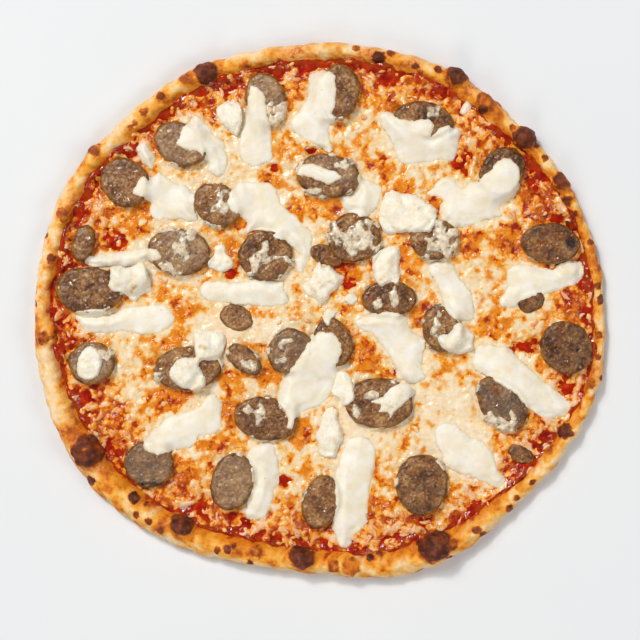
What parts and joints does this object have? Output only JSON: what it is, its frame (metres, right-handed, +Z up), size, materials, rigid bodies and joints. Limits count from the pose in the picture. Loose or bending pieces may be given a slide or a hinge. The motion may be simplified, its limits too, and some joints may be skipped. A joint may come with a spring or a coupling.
{
  "type": "sausage pizza",
  "caption": "Whole round pizza with a puffed blistered rim, tomato sauce, melted cheese, sausage slices, torn mozzarella and ricotta.",
  "frame": {"origin": "on the flat underside, in the middle of the pizza's bounding box", "axes": "+Z up through the thickness, +X to the picture's right and +Y to the picture's top, with the pizza seen from above"},
  "size_m": [0.3302, 0.3094, 0.0182],
  "materials": {
    "crust": "baked dough, golden, matt, floury in places, with charred blisters",
    "sauce": "cooked tomato sauce, wet",
    "melted_cheese": "melted shredded cheese, oily, cream to orange",
    "sausage": "cooked sausage, coarse, brown-grey, slightly greasy",
    "mozzarella": "melted fresh mozzarella, smooth, satin",
    "ricotta": "baked ricotta, crumbly, with lightly browned tips"
  },
  "bodies": {
    "root": {"crust": "crust", "sauce": "sauce", "melted_cheese": "melted_cheese", "sausage_slice_01": "sausage", "sausage_slice_02": "sausage", "sausage_slice_03": "sausage", "sausage_slice_04": "sausage", "sausage_slice_05": "sausage", "sausage_slice_06": "sausage", "sausage_slice_07": "sausage", "sausage_slice_08": "sausage", "sausage_slice_09": "sausage", "sausage_slice_10": "sausage", "sausage_slice_11": "sausage", "sausage_slice_12": "sausage", "sausage_slice_13": "sausage", "sausage_slice_14": "sausage", "sausage_slice_15": "sausage", "sausage_slice_16": "sausage", "sausage_slice_17": "sausage", "sausage_slice_18": "sausage", "sausage_slice_19": "sausage", "sausage_slice_20": "sausage", "sausage_slice_21": "sausage", "sausage_slice_22": "sausage", "sausage_slice_23": "sausage", "sausage_slice_24": "sausage", "sausage_slice_25": "sausage", "sausage_slice_26": "sausage", "sausage_slice_27": "sausage", "sausage_slice_28": "sausage", "sausage_slice_29": "sausage", "sausage_slice_30": "sausage", "mozzarella_01": "mozzarella", "mozzarella_02": "mozzarella", "mozzarella_03": "mozzarella", "mozzarella_04": "mozzarella", "mozzarella_05": "mozzarella", "mozzarella_06": "mozzarella", "mozzarella_07": "mozzarella", "mozzarella_08": "mozzarella", "mozzarella_09": "mozzarella", "mozzarella_10": "mozzarella", "mozzarella_11": "mozzarella", "mozzarella_12": "mozzarella", "mozzarella_13": "mozzarella", "mozzarella_14": "mozzarella", "mozzarella_15": "mozzarella", "mozzarella_16": "mozzarella", "mozzarella_17": "mozzarella", "mozzarella_18": "mozzarella", "mozzarella_19": "mozzarella", "mozzarella_20": "mozzarella", "ricotta_01": "ricotta", "ricotta_02": "ricotta", "ricotta_03": "ricotta", "ricotta_04": "ricotta", "ricotta_05": "ricotta", "ricotta_06": "ricotta", "ricotta_07": "ricotta"}
  },
  "joints": []
}
